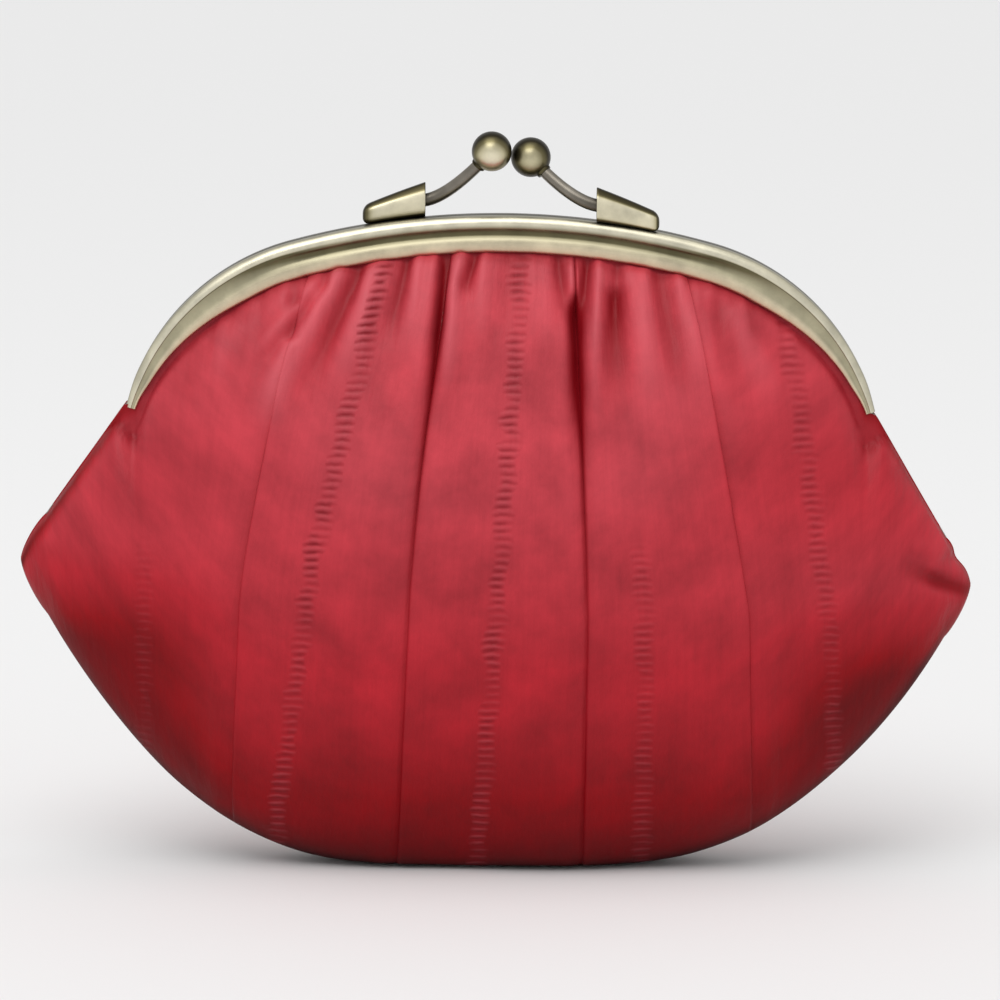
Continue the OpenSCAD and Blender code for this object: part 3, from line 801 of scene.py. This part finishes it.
# ---------------------------------------------------------------------------------------------
# Clasp. Each half carries a ferrule of folded brass soldered on its rim, a bent wire stem that
# is pressed into the ferrule, and a solid ball on the stem. The stems lean across, so the balls
# snap past each other: the ball of the rear half lies in front when the purse is shut.
# ---------------------------------------------------------------------------------------------
CLASP_X, MOUTH_X = 1.65, 16.1        # the clasp's middle, and from it to a ferrule's mouth
BALL_R, STEM_R, WIRE_SIDES = 3.75, 1.22, 20
COLLAR_R = 1.5                       # a short collar where the wire enters the ball
FERRULE_L, FERRULE_H = 11.8, 6.5
ARM_Y = 2.25                         # how far in front of the parting an arm is fixed
MOUTH_UP, MOUTH_DEG = 3.1, 10        # the wire leaves this far above the rim, rising so much
BALLS = {"front": (5.35, 1.5, 134.7), "rear": (-2.0, -1.5, 136.0)}
STEM_BRASS = antique_brass("dark_antiqued_brass_wire",
                           [(0.0, "#A8A196"), (0.5, "#7C766C"), (1.0, "#4A453D")], 0.32, "worn")
CLASP_BRASS = antique_brass("antiqued_pale_brass_cast",
                            [(0.0, "#E9E1C6"), (0.35, "#C9C09E"), (0.62, "#7E7656"),
                             (1.0, "#332E20")], 0.30, "worn")


def tube(path, radius):
    """Rings of a round wire along a path."""
    tangent = np.gradient(path, axis=0)
    tangent /= np.linalg.norm(tangent, axis=1, keepdims=True)
    other = np.cross(tangent, [0.0, 1.0, 0.0])
    other /= np.linalg.norm(other, axis=1, keepdims=True)
    third = np.cross(tangent, other)
    t = np.linspace(0, 2 * math.pi, WIRE_SIDES, endpoint=False)
    return [p + r * (np.cos(t)[:, None] * a + np.sin(t)[:, None] * b)
            for p, a, b, r in zip(path, other, third, radius)]


for face, side in SIDE.items():
    mouth = np.array([CLASP_X + side * MOUTH_X, -side * ARM_Y,
                      float(arch_z(CLASP_X + side * MOUTH_X, 0)) + MOUTH_UP])
    centre = np.array(BALLS[face])
    # the wire: straight inside the ferrule, then one easy bend up to the ball
    rising = math.radians(MOUTH_DEG)
    leave = np.array([-side * math.cos(rising), 0.0, math.sin(rising)])
    arrive = np.array([-side * 0.66, side * 0.24, 0.72])
    t = np.linspace(0, 1, 26)[:, None]
    bent = ((2 * t ** 3 - 3 * t ** 2 + 1) * mouth + (t ** 3 - 2 * t ** 2 + t) * leave * 13
            + (3 * t ** 2 - 2 * t ** 3) * centre + (t ** 3 - t ** 2) * arrive * 14)
    path = np.concatenate([[mouth - leave * 6, mouth - leave * 3], bent])
    radius = STEM_R * np.interp(np.arange(len(path)), [0, 4, len(path) - 1], [1.0, 1.0, 0.88])
    rings = tube(path, radius)
    piece = solid_piece(f"{face}_stem", np.concatenate(rings), closed_loops(rings), 60)
    # dark where it enters the ferrule and the ball, and rubbed along its middle
    worn = np.interp(np.arange(len(path)), [0, 3, 12, 22, len(path) - 1],
                     [1.0, 0.75, 0.35, 0.45, 0.8])
    point_values(piece, worn=np.repeat(worn, WIRE_SIDES))
    piece.data.materials.append(STEM_BRASS)
    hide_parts(f"{face}_clasp_stem")
    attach(piece, f"{face}_half")

    # the ball, with its collar
    entry = (path[-1] - path[-4]) / np.linalg.norm(path[-1] - path[-4])
    start = math.asin(COLLAR_R / BALL_R)
    profile = [(-BALL_R - 0.25, 1.15), (-BALL_R - 0.2, 1.42), (-BALL_R + 0.15, COLLAR_R)]
    profile += [(-BALL_R * math.cos(a), max(BALL_R * math.sin(a), 0.01))
                for a in np.linspace(start, math.pi, 40)]
    piece = turned(f"{face}_ball", profile, centre, entry, 56, 60)
    local = np.array([v.co for v in piece.data.vertices]) / MM - centre
    # pale where it faces front and back, lower on the rear ball, partly wear from fingers and
    # partly painted highlight; dark round the sides and the front ball darker overall, as painted
    # shade
    below, ball_shade = (0.05, 0.22) if face == "front" else (0.32, 0.0)
    rubbed = np.abs(local[:, 1]) / BALL_R * 0.95 - local[:, 2] / BALL_R * below
    worn = np.interp(rubbed, [0.30, 0.66, 1.0], [1.0, 0.55, 0.0]) + ball_shade
    point_values(piece, worn=worn)
    piece.data.materials.append(CLASP_BRASS)
    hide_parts(f"{face}_clasp_ball")
    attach(piece, f"{face}_half")

    # the ferrule: a folded wedge, open at its mouth, closed and rounded at its low end. Each
    # station is its distance from the mouth and the scale of its section.
    rings, worn = [], []
    stations = [(1.6, 0.72), (0.0, 0.80), (0.0, 0.97), (0.15, 1.0)]
    stations += [(s, 1.0) for s in np.linspace(0.4, 10.6, 14)]
    stations += [(FERRULE_L - 1.2 + 1.2 * math.sin(a), 0.25 + 0.75 * math.cos(a))
                 for a in np.radians([25, 45, 62, 76, 90])]
    t = np.linspace(0, 2 * math.pi, 48, endpoint=False)
    for s, k in stations:
        x = MOUTH_X + s
        tall = FERRULE_H - 0.25 * s
        foot = float(arch_z(x + side * CLASP_X, 0)) + 0.02
        across = np.sign(np.cos(t)) * np.abs(np.cos(t)) ** 0.45
        up = np.sign(np.sin(t)) * np.abs(np.sin(t)) ** 0.55
        # the folded top is narrower than the foot
        yy = across * (2.15 - 0.03 * s) * k * (1 - 0.42 * np.clip(up, 0, 1) ** 2)
        zz = foot + tall / 2 + up * tall / 2 * k
        rings.append(np.stack([np.full_like(t, CLASP_X + side * x), -side * ARM_Y + yy, zz], 1))
        # painted shade along the folded top; dark too at the foot and at the closed end
        edge = np.interp(up, [-1, -0.86, -0.66, 0.45, 0.66, 1.0],
                         [1.0, 0.95, 0.12, 0.02, 0.90, 1.0])
        end = 0.75 * smooth((s - 9.0) / 2.5) if side < 0 else 0.55 * smooth((s - 10.0) / 1.6)
        worn.append(np.maximum(edge, end) if k > 0.82 else np.full_like(t, 0.95))
    piece = solid_piece(f"{face}_ferrule", np.concatenate(rings), closed_loops(rings), 50)
    point_values(piece, worn=np.concatenate(worn))
    piece.data.materials.append(CLASP_BRASS)
    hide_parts(f"{face}_clasp_socket")
    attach(piece, f"{face}_half")

# ---------------------------------------------------------------------------------------------
# Studio: a wide pale floor under a bright white surround, a broad soft light high in front on the
# left, and two weak lamps that give the metal its highlights. The camera looks slightly down.
# ---------------------------------------------------------------------------------------------
FLOOR = 20000.0
LENS, SENSOR, VIEW_W = 200, 36, 0.1895   # the last is the width in view at the purse, in metres
CAMERA_DEG, ROLL_DEG, AIM_Z = 8.5, 0.4, 0.0697
corners = np.array([[-FLOOR, -FLOOR, 0], [-FLOOR, FLOOR, 0], [FLOOR, -FLOOR, 0], [FLOOR, FLOOR, 0]])
paper = mesh_piece("paper_floor", corners, grid_faces(2, 2))
material, tree, shader = new_material("matt_white_paper")
shader.inputs["Base Color"].default_value = tone("#E9E9E9")
shader.inputs["Roughness"].default_value = 0.9
shader.inputs["Specular IOR Level"].default_value = 0.1
paper.data.materials.append(material)

world = bpy.data.worlds.new("studio")
bpy.context.scene.world = world
world.use_nodes = True
surround = world.node_tree.nodes["Background"]
surround.inputs["Color"].default_value = (1, 1, 1, 1)
surround.inputs["Strength"].default_value = 0.72


def soft_light(name, place, target, size, power):
    """A rectangular lamp turned to a target."""
    data = bpy.data.lights.new(name, "AREA")
    data.shape, data.size, data.size_y, data.energy = "RECTANGLE", size[0], size[1], power
    light = bpy.data.objects.new(name, data)
    bpy.context.scene.collection.objects.link(light)
    light.location = place
    light.rotation_euler = (Vector(target) - Vector(place)).to_track_quat("-Z", "Y").to_euler()


soft_light("key", (-0.30, -0.85, 1.05), (0, 0, 0.08), (0.7, 0.5), 1.4)
soft_light("top", (0.0, 0.10, 1.1), (0, 0, 0.07), (0.9, 0.35), 0.8)
broad = bpy.data.lights.new("broad", "SUN")
broad.energy, broad.angle = 1.05, math.radians(50)
broad_light = bpy.data.objects.new("broad", broad)
bpy.context.scene.collection.objects.link(broad_light)
broad_light.rotation_euler = Vector((0.16, 0.46, -0.87)).to_track_quat("-Z", "Y").to_euler()

camera_data = bpy.data.cameras.new("camera")
camera_data.lens, camera_data.sensor_width, camera_data.clip_start = LENS, SENSOR, 0.05
camera = bpy.data.objects.new("camera", camera_data)
bpy.context.scene.collection.objects.link(camera)
elevation, distance = math.radians(CAMERA_DEG), VIEW_W * LENS / SENSOR
aim = Vector((0, 0, AIM_Z))
camera.location = aim + distance * Vector((0, -math.cos(elevation), math.sin(elevation)))
camera.rotation_euler = (Matrix.Rotation(math.pi / 2 - elevation, 4, "X")
                         @ Matrix.Rotation(math.radians(ROLL_DEG), 4, "Z")).to_euler()
bpy.context.scene.camera = camera
bpy.context.scene.view_settings.view_transform = "Standard"
